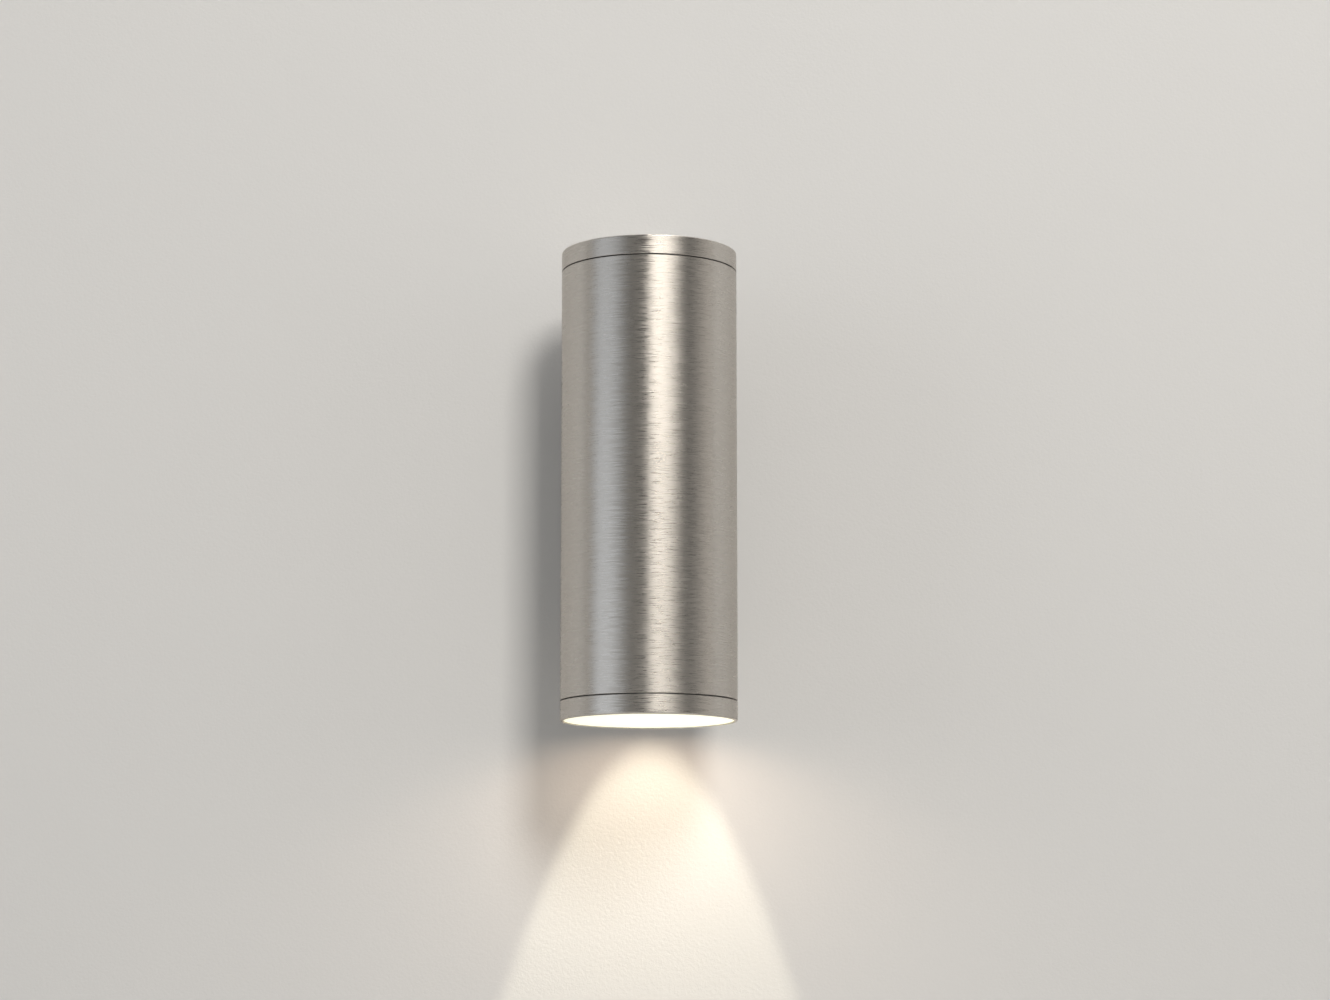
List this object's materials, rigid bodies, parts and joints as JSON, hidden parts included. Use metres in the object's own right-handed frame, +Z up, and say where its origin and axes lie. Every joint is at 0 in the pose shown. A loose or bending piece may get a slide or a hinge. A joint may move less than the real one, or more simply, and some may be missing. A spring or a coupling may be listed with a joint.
{
  "type": "tube wall light",
  "caption": "Vertical round steel tube on a hidden stand-off box, closed above, shining down through an opal lens in a threaded bezel.",
  "frame": {"origin": "middle of the wall plate's back, in the plane of the wall", "axes": "+Z up along the tube, +Y into the wall, +X to the right when facing the light"},
  "size_m": [0.076, 0.1, 0.204],
  "materials": {
    "brushed_tube": "brushed around the tube",
    "brushed_cap": "brushed around the edge",
    "brushed_bezel": "brushed around the edge",
    "machined_steel": "turned",
    "black_rubber": "moulded, matt",
    "grey_silicone": "moulded, matt",
    "opal_lens": "opal, evenly lit",
    "lamp_plastic": "fine moulded",
    "nickel": "plated",
    "clear_front": "clear moulded",
    "board_white": "coated board",
    "phosphor": "gel",
    "board_green": "coated board",
    "ceramic": "glazed ceramic",
    "zinc_screws": "zinc plated",
    "zinc_sheet": "zinc coated sheet",
    "cast_box": "powder coated, fine texture",
    "foam": "closed-cell foam",
    "stainless_screws": "satin",
    "nylon": "moulded",
    "nylon_black": "moulded",
    "terminal_plastic": "moulded",
    "brass": "drawn",
    "lead_brown": "silicone sleeved",
    "lead_blue": "silicone sleeved",
    "lead_green": "silicone sleeved"
  },
  "bodies": {
    "fixed": {"tube_body": "brushed_tube", "top_cap": "brushed_cap", "cap_ring": "black_rubber", "thread_collar": "machined_steel", "lamp_carrier": "zinc_sheet", "carrier_nuts": "zinc_screws", "lampholder": "ceramic", "holder_screws": "zinc_screws", "holder_contacts": "nickel", "earth_tag": "nickel", "earth_screw": "zinc_screws", "mounting_box": "cast_box", "wall_gasket": "foam", "saddle_gasket": "black_rubber", "lead_grommet": "grey_silicone", "saddle_screws": "stainless_screws", "side_screws": "stainless_screws", "side_washers": "nylon", "plate_nuts": "zinc_screws", "wall_plate": "zinc_sheet", "cable_bush": "nylon_black", "terminal_block": "terminal_plastic", "terminal_clamps": "brass", "terminal_screws": "zinc_screws", "terminal_fixing_screw": "zinc_screws", "live_lead": "lead_brown", "neutral_lead": "lead_blue", "earth_lead": "lead_green"},
    "face_seal": {"bezel_seal": "grey_silicone"},
    "bezel_ring": {"bezel": "brushed_bezel", "lens": "opal_lens", "lens_seal": "grey_silicone"},
    "lamp": {"lamp_housing": "lamp_plastic", "lamp_base": "lamp_plastic", "lamp_pins": "nickel", "lamp_front": "clear_front", "led_board": "board_white", "led_chips": "phosphor", "driver_board": "board_green"}
  },
  "joints": [
    {"name": "bezel_drop", "type": "slide", "parent": "fixed", "child": "face_seal", "axis": [0, 0, -1], "range_m": [0, 0.006]},
    {"name": "bezel_turn", "type": "hinge", "parent": "face_seal", "child": "bezel_ring", "pos_m": [0, -0.062, -0.0893], "axis": [0, 0, -1], "range_deg": [0, 1440]},
    {"name": "lamp_twist", "type": "hinge", "parent": "fixed", "child": "lamp", "pos_m": [0, -0.062, -0.0353], "axis": [0, 0, -1], "range_deg": [0, 20]}
  ],
  "couplings": [
    {"joint": "bezel_drop", "follows": "bezel_turn", "m_per_rad": 0.00023873}
  ]
}
